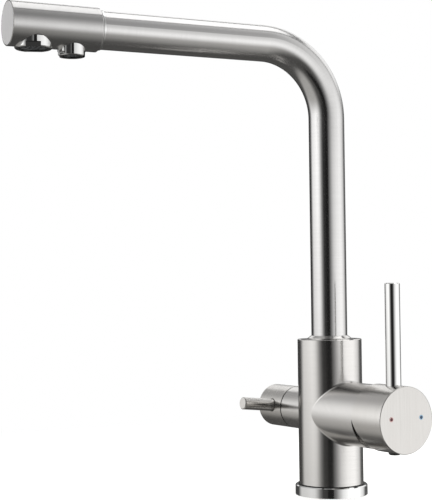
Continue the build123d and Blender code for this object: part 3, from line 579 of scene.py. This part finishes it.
for name, bearing, elevation, distance, size, power in [
        ("lamp_left", -75, 35, 1.6, 1.2, 8), ("lamp_right", 70, 35, 1.6, 1.2, 8),
        ("lamp_above", 150, 75, 1.8, 1.4, 12)]:
    lamp = bpy.data.lights.new(name, "AREA")
    lamp.size, lamp.energy = size, power
    stand = bpy.data.objects.new(name, lamp)
    bpy.context.scene.collection.objects.link(stand)
    way = way_to(bearing, elevation)
    stand.location = tap_middle + way * distance
    stand.rotation_euler = way.to_track_quat("Z", "Y").to_euler()
    stand.visible_glossy = False
    print(name, "at", [round(c, 2) for c in stand.location])

# %% [markdown]
# The floor is plain and pale. It is lit like anything else, so it takes the tap's shadow, and it
# adds a little light of its own for the camera, so that where nothing shades it, it is as white as
# the backdrop. Further from the tap, where no shadow falls, that light is all it has.

# %% The floor
floor_radius, floor_colour = 3.0, "f0f0ee"
shadow_end, white_start = 0.12, 0.50
near_glow, more_glow = 0.45, 0.55
floor_material, tree, place = finish("floor_pale")
to_camera = tree.nodes.new("ShaderNodeLightPath").outputs["Is Camera Ray"]
away = add(tree, "ShaderNodeVectorMath", place, operation="LENGTH")
fade = add(tree, "ShaderNodeMapRange", away, shadow_end, white_start, 0.0, 1.0, **smooth)
fade = add(tree, "ShaderNodeMath", fade, to_camera, operation="MULTIPLY")
tint = add(tree, "ShaderNodeMix", fade, linear(floor_colour), black, **in_colour)
near_lift = add(tree, "ShaderNodeMath", to_camera, near_glow, operation="MULTIPLY")
lift = add(tree, "ShaderNodeMath", fade, more_glow, near_lift, operation="MULTIPLY_ADD")
shader = add(tree, "ShaderNodeBsdfPrincipled", Base_Color=tint, Roughness=0.9, Specular_IOR_Level=0.0,
             Emission_Color=white, Emission_Strength=lift)
add(tree, "ShaderNodeOutputMaterial", shader)

disc = bmesh.new()
bmesh.ops.create_circle(disc, cap_ends=True, segments=96, radius=floor_radius)
floor = made_of("floor", disc, floor_material)
floor.visible_glossy = False
print("floor radius:", floor_radius, "m")

# %% [markdown]
# Metal sees the room's bench and not the floor, so a grey sleeve hides the brass fixings below the
# worktop from it. The dark of the camera stands in front of the tap as a card, close enough for
# the outlets to see it in another direction than the column does: it draws their black stripe.
# Mirrors alone see these two.

# %% Two things that only mirrors show
sleeve_radius, sleeve_depth, sleeve_middle = 27 * MM, 60 * MM, -30.5 * MM
card_away, card_bearing, card_height = 438 * MM, -7, 175 * MM
card_tall, card_wide = 600 * MM, 140 * MM


def only_in_mirrors(name, shape, level):
    """A stage object that glossy rays alone see, with an even glow."""
    material, tree, _ = finish(name)
    shader = add(tree, "ShaderNodeBsdfPrincipled", Base_Color=black, Roughness=0.9,
                 Specular_IOR_Level=0.0, Emission_Color=white, Emission_Strength=level)
    add(tree, "ShaderNodeOutputMaterial", shader)
    hidden = made_of(name, shape, material)
    hidden.visible_camera = hidden.visible_diffuse = hidden.visible_shadow = False


sleeve = bmesh.new()
bmesh.ops.create_cone(sleeve, cap_ends=False, segments=64, radius1=sleeve_radius, radius2=sleeve_radius,
                      depth=sleeve_depth, matrix=Matrix.Translation((0, 0, sleeve_middle)))
only_in_mirrors("worktop_sleeve", sleeve, 0.12)

card = bmesh.new()
card_heading = math.radians(card_bearing) - camera_heading
card_middle = way_to(card_bearing) * card_away + Vector((0, 0, card_height))
bmesh.ops.create_grid(card, x_segments=1, y_segments=1, size=0.5, matrix=(
    Matrix.Translation(card_middle) @ Matrix.Rotation(card_heading, 4, "Z")
    @ Matrix.Rotation(math.pi / 2, 4, "Y") @ Matrix.Diagonal((card_tall, card_wide, 1, 1))))
print("card corners:", [[round(c, 3) for c in corner.co] for corner in card.verts])
only_in_mirrors("lens_card", card, 0.015)
